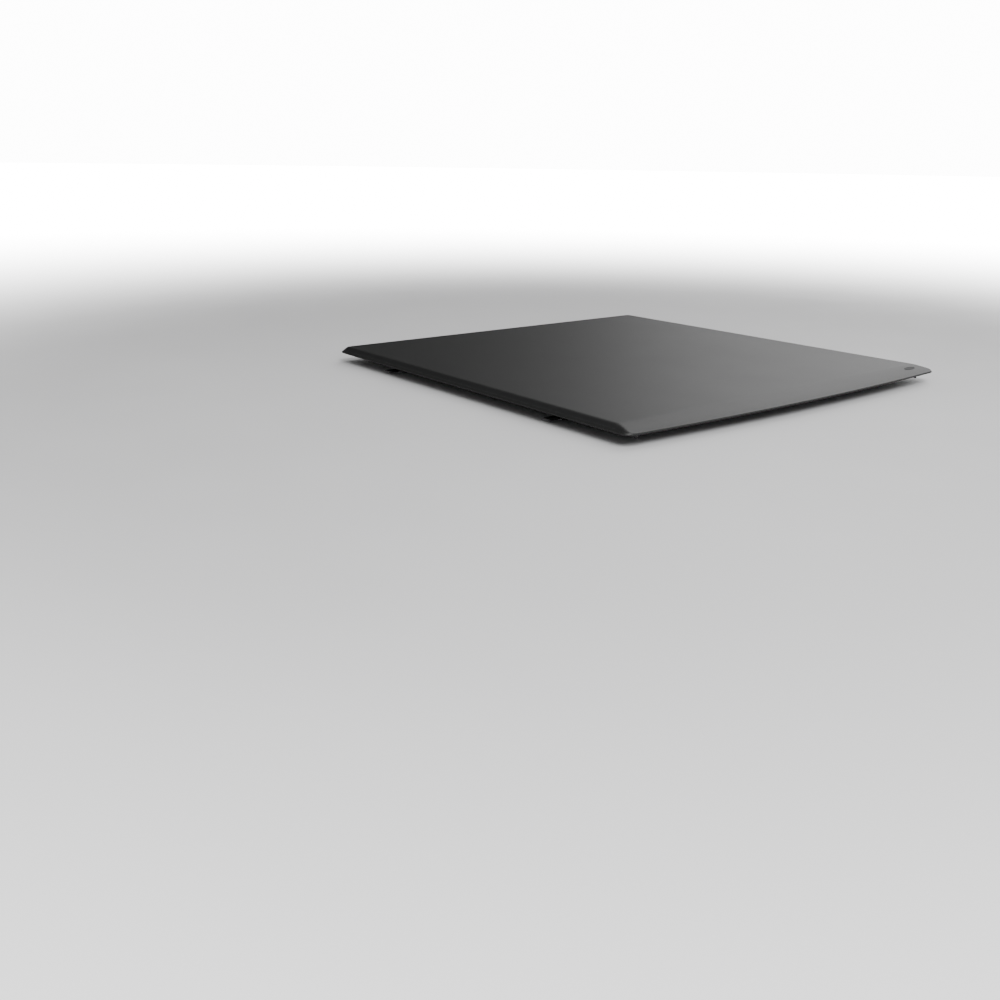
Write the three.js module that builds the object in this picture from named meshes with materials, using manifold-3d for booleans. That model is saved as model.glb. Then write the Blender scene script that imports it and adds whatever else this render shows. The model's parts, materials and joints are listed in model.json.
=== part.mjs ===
// Soft roll-up tonneau cover for the bed of a double-cab pickup truck.
//
// Millimetres. +X is the truck's right side, +Y points to the cab and +Z is up. The origin is the
// middle of the plane in which the cover rests on top of the bed, at z = 0.
//
// A vinyl top lies on two aluminium side rails and four crossbows. The front end is fixed to a front
// header. The rest rolls up from the tailgate: it is built as ten sections that hinge upwards on
// lines across the bed, and their lengths shrink so that the rolled sections nest in a square spiral.
import * as THREE from 'three';
import { mergeVertices } from 'three/addons/utils/BufferGeometryUtils.js';
import Module from 'manifold-3d';

const wasm = await Module();
wasm.setup();

// --- driving dimensions ---------------------------------------------------------------------------
const COVER_LENGTH = 1480; // front edge to the middle of the rear edge
const TOP_HALF = 712; // half the width of the flat top, to the crease over the side rails
const TOP_Z = 22; // the top of the vinyl above the truck's bed rails
const VINYL = 2.3; // thickness of the plain solid that stands for the vinyl, its seams and backing
const REAR_BOW = 25; // how far the middle of the rear edge stands behind its corners
const CORNER_RADIUS = 38; // of the four corners, seen from above
const GAP = 0.3; // between pieces that touch
const FRONT_LENGTH = 172; // of the section that stays on the front header
const FIRST_ROLLED = 160; // length of the outermost sections of the roll
const ROLL_PITCH = 14; // distance between two layers of the roll
const LATCH_DEPTH = 38; // distance from the rear section to the layer outside it, room for the latches
const REAR_LENGTH = 116; // of the rear section, the core of the roll
const REAR_BEND = 16; // the rear section is flat for this long, and then falls towards its edge
const REAR_KNEE = 50; // the fall is shared by a gentle curve up to here, measured from the edge

const FRONT_Y = COVER_LENGTH / 2;
const REAR_Y = -COVER_LENGTH / 2;
const VINYL_UNDER = TOP_Z - VINYL;
const UNDER_TOP = VINYL_UNDER - 0.4; // the highest that rails, bows and headers reach
const SEAL = 2; // thickness of the rubber seals, which lie on z = 0
const ABOVE_SEAL = SEAL + GAP;

const sectionLengths = [FRONT_LENGTH];
for (let pair = 0; pair < 4; pair += 1) {
  const length = FIRST_ROLLED - pair * ROLL_PITCH;
  sectionLengths.push(length, length);
}
sectionLengths.push(FIRST_ROLLED - 3 * ROLL_PITCH - LATCH_DEPTH, REAR_LENGTH);

const sectionStarts = [];
let nextStart = FRONT_Y;
for (const length of sectionLengths) {
  sectionStarts.push(nextStart);
  nextStart -= length;
}
const LAST = sectionLengths.length - 1;
const REAR_HINGE_Y = sectionStarts[LAST];

// --- materials ------------------------------------------------------------------------------------
const finish = (color, roughness, metalness) =>
  new THREE.MeshStandardMaterial({ color, roughness, metalness });
const vinyl = () => finish(0x17191a, 0.5, 0);
const blackAluminium = () => finish(0x1b1c1e, 0.42, 0.6);
const bareAluminium = () => finish(0xa7aaad, 0.38, 0.9);
const zincSteel = () => finish(0x9a9ca0, 0.35, 0.9);
const blackSteel = () => finish(0x202124, 0.5, 0.7);
const mouldedPlastic = () => finish(0x131416, 0.6, 0);
const rubber = () => finish(0x0c0c0d, 0.85, 0);
const webbing = () => finish(0x1a1b1d, 0.9, 0);

// --- helpers --------------------------------------------------------------------------------------
const cover = new THREE.Group();

function add(name, geometry, material) {
  const mesh = new THREE.Mesh(geometry, material);
  mesh.name = name;
  cover.add(mesh);
}

function shapeOf(points) {
  return new THREE.Shape(points.map(([a, b]) => new THREE.Vector2(a, b)));
}

// Extrudes an outline drawn in two of the axes along the third one, from low to high.
function alongX(shape, low, high, steps = 1) {
  const options = { depth: high - low, bevelEnabled: false, steps, curveSegments: 10 };
  const geometry = new THREE.ExtrudeGeometry(shape, options);
  const axes = new THREE.Matrix4().makeBasis(
    new THREE.Vector3(0, 1, 0),
    new THREE.Vector3(0, 0, 1),
    new THREE.Vector3(1, 0, 0),
  );
  return geometry.applyMatrix4(axes).translate(low, 0, 0);
}

function alongY(shape, low, high) {
  const options = { depth: high - low, bevelEnabled: false, curveSegments: 10 };
  const geometry = new THREE.ExtrudeGeometry(shape, options);
  return geometry.rotateX(Math.PI / 2).translate(0, high, 0);
}

function alongZ(shape, low, high) {
  const options = { depth: high - low, bevelEnabled: false, curveSegments: 14 };
  return new THREE.ExtrudeGeometry(shape, options).translate(0, 0, low);
}

function box(x0, x1, y0, y1, z0, z1) {
  const geometry = new THREE.BoxGeometry(Math.abs(x1 - x0), y1 - y0, z1 - z0);
  return geometry.translate((x0 + x1) / 2, (y0 + y1) / 2, (z0 + z1) / 2);
}

// A cylinder about a line through (x, y, z) along the given axis, reaching half its length each way.
function rod(axis, radius, length, x, y, z, sides = 20) {
  const geometry = new THREE.CylinderGeometry(radius, radius, length, sides);
  if (axis === 'x') geometry.rotateZ(Math.PI / 2);
  if (axis === 'z') geometry.rotateX(Math.PI / 2);
  return geometry.translate(x, y, z);
}

function toSolid(geometry) {
  const bare = geometry.clone();
  bare.deleteAttribute('normal');
  bare.deleteAttribute('uv');
  const merged = mergeVertices(bare, 1e-4);
  const vertProperties = new Float32Array(merged.attributes.position.array);
  const triVerts = new Uint32Array(merged.index.array);
  return new wasm.Manifold(new wasm.Mesh({ numProp: 3, vertProperties, triVerts }));
}

function toGeometry(solid) {
  const mesh = solid.getMesh();
  const geometry = new THREE.BufferGeometry();
  geometry.setAttribute('position', new THREE.BufferAttribute(mesh.vertProperties, 3));
  geometry.setIndex(new THREE.BufferAttribute(mesh.triVerts, 1));
  geometry.computeVertexNormals();
  return geometry;
}

const join = (first, ...rest) =>
  toGeometry(rest.reduce((solid, next) => solid.add(toSolid(next)), toSolid(first)));
const cut = (first, ...rest) =>
  toGeometry(rest.reduce((solid, next) => solid.subtract(toSolid(next)), toSolid(first)));
const common = (first, ...rest) =>
  toGeometry(rest.reduce((solid, next) => solid.intersect(toSolid(next)), toSolid(first)));

const sides = [
  { name: 'left', sign: -1 },
  { name: 'right', sign: 1 },
];
const mirrored = (points, sign) => points.map(([x, z]) => [sign * x, z]);

// The cover seen from above, with four rounded corners. The rear edge between them is left long.
function planOutline(half, front, corner) {
  const r = CORNER_RADIUS;
  const tuck = corner - 2; // the rear corners turn in a little, as the rear edge is bowed
  const beyond = REAR_Y - 40;
  const shape = new THREE.Shape();
  shape.moveTo(-half, corner + r);
  shape.lineTo(-half, front - r);
  shape.quadraticCurveTo(-half, front, -half + r, front);
  shape.lineTo(half - r, front);
  shape.quadraticCurveTo(half, front, half, front - r);
  shape.lineTo(half, corner + r);
  shape.quadraticCurveTo(half, corner, half - r, tuck);
  shape.lineTo(half - r, beyond);
  shape.lineTo(-half + r, beyond);
  shape.lineTo(-half + r, tuck);
  shape.quadraticCurveTo(-half, corner, -half, corner + r);
  return alongZ(shape, -30, 60);
}

// Bends whatever lies behind the rear hinge so that the rear edge is bowed, as seen from above.
function bowRear(geometry) {
  const position = geometry.attributes.position;
  const rampStart = REAR_HINGE_Y - REAR_BEND;
  const rampLength = rampStart - REAR_Y;
  for (let i = 0; i < position.count; i += 1) {
    const along = Math.min(Math.max((rampStart - position.getY(i)) / rampLength, 0), 1);
    const across = Math.min(Math.abs(position.getX(i)) / TOP_HALF, 1);
    position.setY(i, position.getY(i) + REAR_BOW * along * across * across);
  }
  return geometry;
}

// --- vinyl sections -------------------------------------------------------------------------------
const FRONT_SLOPE = 28; // how far the front skirt reaches in front of the flat top
const EDGE_RUN = 2.6; // the sides of the solid lean out by this much over its thickness
const REAR_DROP = 14; // how far the top falls up to the rear edge
const LIP_TOP = 6; // the upright lip along the rear edge, between these two heights
const LIP_BOTTOM = 3.5;
const EDGE_STEPS = 24; // across the bed, along which the rear pieces are bowed

function plainSection(index) {
  const start = sectionStarts[index];
  const outline = shapeOf([
    [-TOP_HALF, TOP_Z],
    [TOP_HALF, TOP_Z],
    [TOP_HALF + EDGE_RUN, VINYL_UNDER],
    [-TOP_HALF - EDGE_RUN, VINYL_UNDER],
  ]);
  const front = index === 0 ? start - FRONT_SLOPE : start - GAP;
  return alongY(outline, start - sectionLengths[index] + GAP, front);
}

function rearSection() {
  const shape = new THREE.Shape();
  const front = REAR_HINGE_Y - GAP;
  const bend = REAR_HINGE_Y - REAR_BEND;
  const inside = REAR_Y + VINYL;
  const brow = REAR_Y + 8; // the fall turns into the upright lip from here
  const browTop = TOP_Z - REAR_DROP + 1.5;
  shape.moveTo(front, TOP_Z);
  shape.lineTo(bend, TOP_Z);
  shape.quadraticCurveTo(REAR_Y + REAR_KNEE, TOP_Z, brow, browTop);
  shape.quadraticCurveTo(REAR_Y, TOP_Z - REAR_DROP, REAR_Y, LIP_TOP);
  shape.lineTo(REAR_Y, LIP_BOTTOM);
  shape.lineTo(inside, LIP_BOTTOM);
  shape.lineTo(inside, LIP_TOP);
  shape.quadraticCurveTo(inside, TOP_Z - REAR_DROP - 1.8, brow + 0.6, browTop - 2.2);
  shape.quadraticCurveTo(REAR_Y + REAR_KNEE, VINYL_UNDER, bend, VINYL_UNDER);
  shape.lineTo(front, VINYL_UNDER);
  return bowRear(alongX(shape, -TOP_HALF - EDGE_RUN, TOP_HALF + EDGE_RUN, EDGE_STEPS));
}

const topOutline = planOutline(TOP_HALF + EDGE_RUN, FRONT_Y - FRONT_SLOPE, REAR_Y + REAR_BOW);
for (let index = 0; index <= LAST; index += 1) {
  const name = `vinyl_section_${String(index).padStart(2, '0')}`;
  let geometry = index === LAST ? rearSection() : plainSection(index);
  if (index === 0 || index === LAST) geometry = common(geometry, topOutline);
  add(name, geometry, vinyl());
}

// A plain oval patch near the right rear corner, with nothing written on it.
function ovalPatch() {
  const [middleX, middleY, halfLong, halfWide, thick] = [640, -672, 30, 12, 0.8];
  const clearance = 0.5; // between the patch and the curved vinyl under it
  const margin = 4;
  const oval = new THREE.Shape();
  oval.absellipse(middleX, middleY, halfLong, halfWide, 0, Math.PI * 2);
  const edges = [middleY + halfWide + margin, middleY, middleY - halfWide - margin];
  const bend = REAR_HINGE_Y - REAR_BEND;
  const [fall, run] = [20, 102]; // of the parabola that the bowed top follows there
  const height = (y) => TOP_Z - fall * ((bend - y) / run) ** 2 + clearance;
  const upper = edges.map((y) => [y, height(y) + thick]);
  const lower = edges.map((y) => [y, height(y)]).reverse();
  const reach = halfLong + margin;
  const slice = alongX(shapeOf([...upper, ...lower]), middleX - reach, middleX + reach);
  return common(slice, alongZ(oval, 0, TOP_Z * 2));
}
add('plain_oval_patch', ovalPatch(), vinyl());

// --- side rails -----------------------------------------------------------------------------------
const RAIL_FRONT = FRONT_Y - 8;
const RAIL_REAR = REAR_HINGE_Y + 6;
const RAIL_INNER = 700; // the wall that the crossbows fit between
const RAIL_OUTER = 728.5; // the lower edge of the sloping face under the skirt
const BEVEL_TOP = [709.1, 18.4]; // the upper edge of that face
const CROWN_OUTER = 707.2; // where the flat top of the rail begins to turn down
const HOLLOW_INNER = RAIL_INNER + 3;
const HOLLOW_OUTER = 722.3;
const HOLLOW_TOP = 16.8;
const LEDGE_TOP = 7.6;
const LEDGE_INNER = 672;
const LEG_BOTTOM = -19.5;
const WALL = 2.4;
const SEAL_OUTER = 727;
const SLOPE_FOOT = FRONT_Y - 7; // rails and front header slope down to here at their front ends
const SLOPE_BROW = FRONT_Y - FRONT_SLOPE - 4; // and their flat tops end here

// The extrusion: a bevelled tube under the edge of the vinyl, open below, with a ledge for the bows
// and a leg that hangs down inside the bed, where the clamps hold it.
const railOutline = [
  [LEDGE_INNER, LEG_BOTTOM],
  [LEDGE_INNER + WALL, LEG_BOTTOM],
  [LEDGE_INNER + WALL, LEDGE_TOP - WALL],
  [RAIL_INNER - 1, LEDGE_TOP - WALL],
  [RAIL_INNER - 1, ABOVE_SEAL],
  [HOLLOW_INNER, ABOVE_SEAL],
  [HOLLOW_INNER, HOLLOW_TOP],
  [CROWN_OUTER + 0.4, HOLLOW_TOP],
  [HOLLOW_OUTER, ABOVE_SEAL + WALL - 0.1],
  [HOLLOW_OUTER, ABOVE_SEAL],
  [RAIL_OUTER, ABOVE_SEAL],
  BEVEL_TOP,
  [CROWN_OUTER, UNDER_TOP],
  [RAIL_INNER, UNDER_TOP],
  [RAIL_INNER, LEDGE_TOP],
  [LEDGE_INNER, LEDGE_TOP],
];

// The front end of each rail slopes like the header and is rounded in plan, under the vinyl's corner.
const railSide = [
  [RAIL_REAR - 1, LEG_BOTTOM - 1],
  [SLOPE_FOOT, LEG_BOTTOM - 1],
  [SLOPE_FOOT, ABOVE_SEAL],
  [SLOPE_BROW, UNDER_TOP],
  [RAIL_REAR - 1, UNDER_TOP],
];
const railPlan = planOutline(RAIL_OUTER, RAIL_FRONT, REAR_Y);

for (const { name, sign } of sides) {
  const long = alongY(shapeOf(mirrored(railOutline, sign)), RAIL_REAR, RAIL_FRONT);
  const slope = alongX(shapeOf(railSide), -RAIL_OUTER - 1, RAIL_OUTER + 1);
  add(`side_rail_${name}`, common(long, slope, railPlan), blackAluminium());
  const strip = box(sign * RAIL_INNER, sign * SEAL_OUTER, RAIL_REAR, RAIL_FRONT, 0, SEAL);
  add(`rail_seal_${name}`, common(strip, railPlan), rubber());
}

// --- crossbows and their end caps -----------------------------------------------------------------
const BOW_HALF = 691.4;
const BOW_WIDTH = 28;
const BOW_BOTTOM = 9;
const BOW_WALL = 1.6;
const BOW_CHAMFER = 2.5;
const CAP_FLANGE = 3;
const CAP_SPIGOT = 14;

function bowOutline(inset) {
  const y = BOW_WIDTH / 2 - inset;
  const bottom = BOW_BOTTOM + inset;
  const top = UNDER_TOP - inset;
  const chamfer = BOW_CHAMFER - inset / 2;
  return [
    [-y, bottom + chamfer],
    [-y + chamfer, bottom],
    [y - chamfer, bottom],
    [y, bottom + chamfer],
    [y, top],
    [-y, top],
  ];
}

const bowSections = [2, 4, 6, 8];
bowSections.forEach((index, order) => {
  const middle = sectionStarts[index] - sectionLengths[index] / 2;
  const number = order + 1;
  const tube = shapeOf(bowOutline(0));
  tube.holes.push(shapeOf(bowOutline(BOW_WALL)));
  add(`crossbow_${number}`, alongX(tube, -BOW_HALF, BOW_HALF).translate(0, middle, 0), bareAluminium());
  for (const { name, sign } of sides) {
    const inside = sign * (BOW_HALF - CAP_SPIGOT);
    const face = sign * (BOW_HALF + GAP);
    const outside = sign * (BOW_HALF + GAP + CAP_FLANGE);
    const flange = alongX(shapeOf(bowOutline(0)), Math.min(face, outside), Math.max(face, outside));
    const spigotOutline = shapeOf(bowOutline(BOW_WALL + GAP));
    const spigotEnd = face + sign;
    const spigot = alongX(spigotOutline, Math.min(inside, spigotEnd), Math.max(inside, spigotEnd));
    const cap = join(flange, spigot).translate(0, middle, 0);
    add(`crossbow_${number}_cap_${name}`, cap, mouldedPlastic());
  }
});

// --- front header ---------------------------------------------------------------------------------
const HEADER_REAR = FRONT_Y - 98;
const HEADER_HALF = 646;
const HEADER_WALL = 2.2;
const BULKHEAD_SEAL = [FRONT_Y - 52, FRONT_Y - 16];
const KNOB_X = 657;
const KNOB_Z = 10;
const KNOB_RADIUS = 9;
const KNOB_THICK = 16;
const KNOB_FRONT = HEADER_REAR - 4;
const LOBE_DEPTH = 1.1;
const TENSION_SCREW_RADIUS = 3;

// The corners of the wall's inner side lie further in where the front slopes.
function frontHeaderOutline(inset) {
  return [
    [HEADER_REAR + inset, ABOVE_SEAL + inset],
    [SLOPE_FOOT - 1.6 * inset, ABOVE_SEAL + inset],
    [SLOPE_BROW - 0.4 * inset, UNDER_TOP - inset],
    [HEADER_REAR + inset, UNDER_TOP - inset],
  ];
}
const frontTube = shapeOf(frontHeaderOutline(0));
frontTube.holes.push(shapeOf(frontHeaderOutline(HEADER_WALL)));
add('front_header', alongX(frontTube, -HEADER_HALF + GAP, HEADER_HALF - GAP), blackAluminium());
const bulkheadSeal = box(-LEDGE_INNER + 2, LEDGE_INNER - 2, ...BULKHEAD_SEAL, 0, SEAL);
add('bulkhead_seal', bulkheadSeal, rubber());

// A cast corner joins the header to each rail's ledge and holds the tension screw.
const CORNER_GAP = 0.5;
const cornerOutline = [
  [HEADER_HALF, ABOVE_SEAL],
  [LEDGE_INNER - CORNER_GAP, ABOVE_SEAL],
  [LEDGE_INNER - CORNER_GAP, LEDGE_TOP + GAP],
  [RAIL_INNER - CORNER_GAP, LEDGE_TOP + GAP],
  [RAIL_INNER - CORNER_GAP, UNDER_TOP],
  [HEADER_HALF, UNDER_TOP],
];

function starKnob(sign) {
  const lobes = 6;
  const points = lobes * 8;
  const star = new THREE.Shape();
  for (let i = 0; i <= points; i += 1) {
    const angle = (i / points) * Math.PI * 2;
    const radius = KNOB_RADIUS - LOBE_DEPTH + LOBE_DEPTH * Math.cos(lobes * angle);
    const x = sign * KNOB_X + radius * Math.cos(angle);
    const z = KNOB_Z + radius * Math.sin(angle);
    if (i === 0) star.moveTo(x, z);
    else star.lineTo(x, z);
  }
  const head = alongY(star, KNOB_FRONT - KNOB_THICK, KNOB_FRONT);
  const screw = rod('y', TENSION_SCREW_RADIUS, 24, sign * KNOB_X, KNOB_FRONT + 10, KNOB_Z);
  return join(head, screw);
}

for (const { name, sign } of sides) {
  const block = alongY(shapeOf(mirrored(cornerOutline, sign)), HEADER_REAR, FRONT_Y);
  const profile = alongX(shapeOf(frontHeaderOutline(0)), -TOP_HALF, TOP_HALF);
  const hole = rod('y', TENSION_SCREW_RADIUS + 2 * GAP, 60, sign * KNOB_X, HEADER_REAR, KNOB_Z);
  const corner = cut(common(block, profile), hole);
  add(`front_corner_${name}`, corner, blackAluminium());
  add(`tension_knob_${name}`, starKnob(sign), mouldedPlastic());
}

// Webbing straps, folded away under the front section, that hold the cover when it is rolled up.
const STRAP_X = [361, 399];
const STRAP_Y = [HEADER_REAR - 62, HEADER_REAR - 1];
const STRAP_BOTTOM = 11;
for (const { name, sign } of sides) {
  const [inner, outer] = STRAP_X.map((x) => sign * x);
  const strap = box(inner, outer, ...STRAP_Y, STRAP_BOTTOM, UNDER_TOP);
  add(`storage_strap_${name}`, strap, webbing());
}

// --- rear header ----------------------------------------------------------------------------------
const REAR_HEADER_HALF = 699;
const HEADER_FRONT = REAR_HINGE_Y - 8;
const REAR_BROW_Z = TOP_Z - REAR_DROP - 1.3; // where the header's curved top meets its back
const TAILGATE_SEAL = [REAR_Y + 14, REAR_Y + 40];
const TAILGATE_SEAL_HALF = 690;

function rearHeaderShape() {
  const shape = new THREE.Shape();
  const back = REAR_Y + VINYL + 2 * GAP;
  shape.moveTo(HEADER_FRONT, ABOVE_SEAL);
  shape.lineTo(HEADER_FRONT, UNDER_TOP);
  shape.lineTo(REAR_HINGE_Y - REAR_BEND, UNDER_TOP);
  shape.quadraticCurveTo(REAR_Y + REAR_KNEE, UNDER_TOP, back + 6, REAR_BROW_Z);
  shape.lineTo(back, LIP_TOP - 2 * GAP);
  shape.lineTo(back, ABOVE_SEAL);
  return shape;
}

// The hollow inside follows the top and ends where the header gets low.
function rearHeaderHollow() {
  const shape = new THREE.Shape();
  const top = UNDER_TOP - HEADER_WALL;
  const end = REAR_Y + 24;
  shape.moveTo(HEADER_FRONT - HEADER_WALL, ABOVE_SEAL + HEADER_WALL);
  shape.lineTo(HEADER_FRONT - HEADER_WALL, top);
  shape.lineTo(REAR_HINGE_Y - REAR_BEND, top);
  shape.quadraticCurveTo(REAR_Y + REAR_KNEE + 4, top, end, TOP_Z - REAR_DROP + 0.4);
  shape.lineTo(end, ABOVE_SEAL + HEADER_WALL);
  return shape;
}
const rearTube = rearHeaderShape();
rearTube.holes.push(rearHeaderHollow());
const rearHalf = REAR_HEADER_HALF - GAP;
add('rear_header', bowRear(alongX(rearTube, -rearHalf, rearHalf, EDGE_STEPS)), blackAluminium());

// A rubber strip under the rear header, which meets the top of the tailgate.
const sealShape = shapeOf([
  [TAILGATE_SEAL[0], 0],
  [TAILGATE_SEAL[1], 0],
  [TAILGATE_SEAL[1], SEAL],
  [TAILGATE_SEAL[0], SEAL],
]);
const tailgateSeal = alongX(sealShape, -TAILGATE_SEAL_HALF, TAILGATE_SEAL_HALF, EDGE_STEPS);
add('tailgate_seal', bowRear(tailgateSeal), rubber());

// Moulded corners close the ends of the rear header and carry the skirt round the corner.
const capOutline = [
  [REAR_HEADER_HALF, ABOVE_SEAL],
  [RAIL_OUTER, ABOVE_SEAL],
  BEVEL_TOP,
  [CROWN_OUTER, UNDER_TOP],
  [REAR_HEADER_HALF, UNDER_TOP],
];
for (const { name, sign } of sides) {
  const wedge = alongY(shapeOf(mirrored(capOutline, sign)), REAR_Y - 20, REAR_HINGE_Y);
  const solid = bowRear(alongX(rearHeaderShape(), -RAIL_OUTER - 11.5, RAIL_OUTER + 11.5, 40));
  const cap = common(wedge, solid, planOutline(RAIL_OUTER + 1.5, FRONT_Y, REAR_Y + REAR_BOW + 5));
  add(`rear_corner_${name}`, cap, mouldedPlastic());
}

// --- rear latches ---------------------------------------------------------------------------------
const BOLT_Y = REAR_HINGE_Y - 38;
const BOLT_Z = -4;
const BOLT_TIP = 677;
const BOLT_STROKE = 9.5;
const BOLT_RADIUS = 4;
const BOLT_TAIL = 14; // the bolt reaches this far past its pin
const PIN_RADIUS = 2;
const PIN_LENGTH = 10;
const PIVOT_X = 632;
const PIVOT_Y = BOLT_Y + 20;
const HOUSING_X0 = 604;
const HOUSING_X1 = 668;
const HOUSING_TOP = ABOVE_SEAL - GAP;
const HOUSING_BOTTOM = -9.5;
const LEVER_TOP = HOUSING_BOTTOM - GAP;
const LEVER_THICK = 2.6;

// The sprung bolt, with the pin that the lever pulls.
function latchBolt(sign) {
  const length = BOLT_TIP - PIVOT_X + BOLT_TAIL;
  const bar = rod('x', BOLT_RADIUS, length, sign * (BOLT_TIP - length / 2), BOLT_Y, BOLT_Z);
  const pinZ = BOLT_Z + 0.5 - PIN_LENGTH / 2;
  const pin = rod('z', PIN_RADIUS, PIN_LENGTH, sign * PIVOT_X, BOLT_Y, pinZ, 12);
  return join(bar, pin);
}

function latchHousing(sign) {
  const [x0, x1] = [sign * HOUSING_X0, sign * HOUSING_X1];
  const block = box(x0, x1, BOLT_Y - 16, BOLT_Y + 28, HOUSING_BOTTOM, HOUSING_TOP);
  const bore = rod('x', BOLT_RADIUS + 2 * GAP, 200, sign * PIVOT_X, BOLT_Y, BOLT_Z);
  const slotHalf = PIN_RADIUS + 1;
  const slotInner = sign * (PIVOT_X - BOLT_STROKE - slotHalf - 1);
  const slotOuter = sign * (PIVOT_X + slotHalf);
  const slot = box(slotInner, slotOuter, BOLT_Y - slotHalf, BOLT_Y + slotHalf, -30, BOLT_Z);
  return cut(block, bore, slot);
}

// The lever lies flat under the housing and turns about its pivot. A fork takes the bolt's pin.
function latchLever(sign) {
  const point = (x, y) => [sign * (PIVOT_X + x), PIVOT_Y + y];
  const outline = [
    point(9, 4),
    point(4, 9),
    point(-6, 8),
    point(-52, -9),
    point(-57, -16),
    point(-53, -24),
    point(-44, -25),
    point(-9, -11),
    point(-7, -27),
    point(-3.2, -27),
    point(-3.2, -16),
    point(3.2, -16),
    point(3.2, -27),
    point(7, -27),
  ];
  return alongZ(shapeOf(outline), LEVER_TOP - LEVER_THICK, LEVER_TOP);
}

// A plate behind the end of each rail's leg, with a notch that the bolt drops into from above.
const STRIKER_FACE = 668.2;
const STRIKER_THICK = 3;
const STRIKER_BOTTOM = -16;
const STRIKER_REACH = [BOLT_Y - 22, RAIL_REAR + 34];
const notch = shapeOf([
  [BOLT_Y + 6, 10],
  [BOLT_Y + 6, BOLT_Z - 6],
  [BOLT_Y - 5.5, BOLT_Z - 6],
  [BOLT_Y - 19, 10],
]);

function striker(sign) {
  const [x0, x1] = [sign * STRIKER_FACE, sign * (STRIKER_FACE + STRIKER_THICK)];
  const plate = box(x0, x1, ...STRIKER_REACH, STRIKER_BOTTOM, HOUSING_TOP);
  return cut(plate, alongX(notch, Math.min(x0, x1) - 5, Math.max(x0, x1) + 5));
}

for (const { name, sign } of sides) {
  add(`latch_housing_${name}`, latchHousing(sign), mouldedPlastic());
  add(`latch_bolt_${name}`, latchBolt(sign), zincSteel());
  add(`latch_lever_${name}`, latchLever(sign), blackSteel());
  add(`striker_${name}`, striker(sign), zincSteel());
}

// --- clamps ---------------------------------------------------------------------------------------
const CLAMP_SCREW_X = 657;
const CLAMP_WIDTH = 44;
const JAW_TOP = -22; // the clamp is tight on a bed flange of this thickness
const JAW_THICK = 3.5;
const JAW_REACH = 712;
const TAB_TOP = -11;
const BRACKET_THICK = 3;
const BRACKET_FACE = LEDGE_INNER - GAP; // it lies against the rail's leg
const NUT_RADIUS = 7.5;
const NUT_HEIGHT = 6.5;
const SCREW_RADIUS = 4;
const SCREW_TOP = 8;
const HEAD_HEIGHT = 5.5;
const WASHER_RADIUS = 8.5;
const WASHER_THICK = 1.5;

const bracketOutline = [
  [646, TAB_TOP - BRACKET_THICK],
  [BRACKET_FACE, TAB_TOP - BRACKET_THICK],
  [BRACKET_FACE, LEDGE_TOP - WALL],
  [BRACKET_FACE - BRACKET_THICK, LEDGE_TOP - WALL],
  [BRACKET_FACE - BRACKET_THICK, TAB_TOP],
  [646, TAB_TOP],
];
const jawOutline = [
  [644, JAW_TOP - JAW_THICK - 6],
  [647, JAW_TOP - JAW_THICK - 6],
  [647, JAW_TOP - JAW_THICK],
  [JAW_REACH, JAW_TOP - JAW_THICK],
  [JAW_REACH, JAW_TOP],
  [644, JAW_TOP],
];

function clampScrew(x, y) {
  const headTop = JAW_TOP - JAW_THICK - GAP;
  const headMiddle = headTop - WASHER_THICK + 0.1 - HEAD_HEIGHT / 2;
  const head = rod('z', NUT_RADIUS, HEAD_HEIGHT, x, y, headMiddle, 6);
  const washer = rod('z', WASHER_RADIUS, WASHER_THICK, x, y, headTop - WASHER_THICK / 2);
  const shankLength = SCREW_TOP - headTop + 1;
  const shank = rod('z', SCREW_RADIUS, shankLength, x, y, SCREW_TOP - shankLength / 2);
  return join(head, washer, shank);
}

const clampPlaces = [
  { number: 1, sign: -1, y: 450 },
  { number: 2, sign: -1, y: -370 },
  { number: 3, sign: 1, y: 450 },
  { number: 4, sign: 1, y: -370 },
];
for (const { number, sign, y } of clampPlaces) {
  const x = sign * CLAMP_SCREW_X;
  const bore = rod('z', SCREW_RADIUS + 0.4, 120, x, y, 0);
  const half = CLAMP_WIDTH / 2;
  const angle = alongY(shapeOf(mirrored(bracketOutline, sign)), y - half, y + half);
  const nut = rod('z', NUT_RADIUS, NUT_HEIGHT + 0.5, x, y, TAB_TOP + NUT_HEIGHT / 2 - 0.25, 6);
  add(`clamp_${number}_bracket`, cut(join(angle, nut), bore), zincSteel());
  const arm = alongY(shapeOf(mirrored(jawOutline, sign)), y - half + 5, y + half - 5);
  add(`clamp_${number}_jaw`, cut(arm, bore), zincSteel());
  add(`clamp_${number}_screw`, clampScrew(x, y), zincSteel());
}

export default cover;
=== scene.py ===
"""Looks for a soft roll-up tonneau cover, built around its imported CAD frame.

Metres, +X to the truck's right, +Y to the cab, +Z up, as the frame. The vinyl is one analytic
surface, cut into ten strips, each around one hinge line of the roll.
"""
import json
import math

import bmesh
import bpy
import numpy as np
from mathutils import Matrix, Vector


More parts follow.
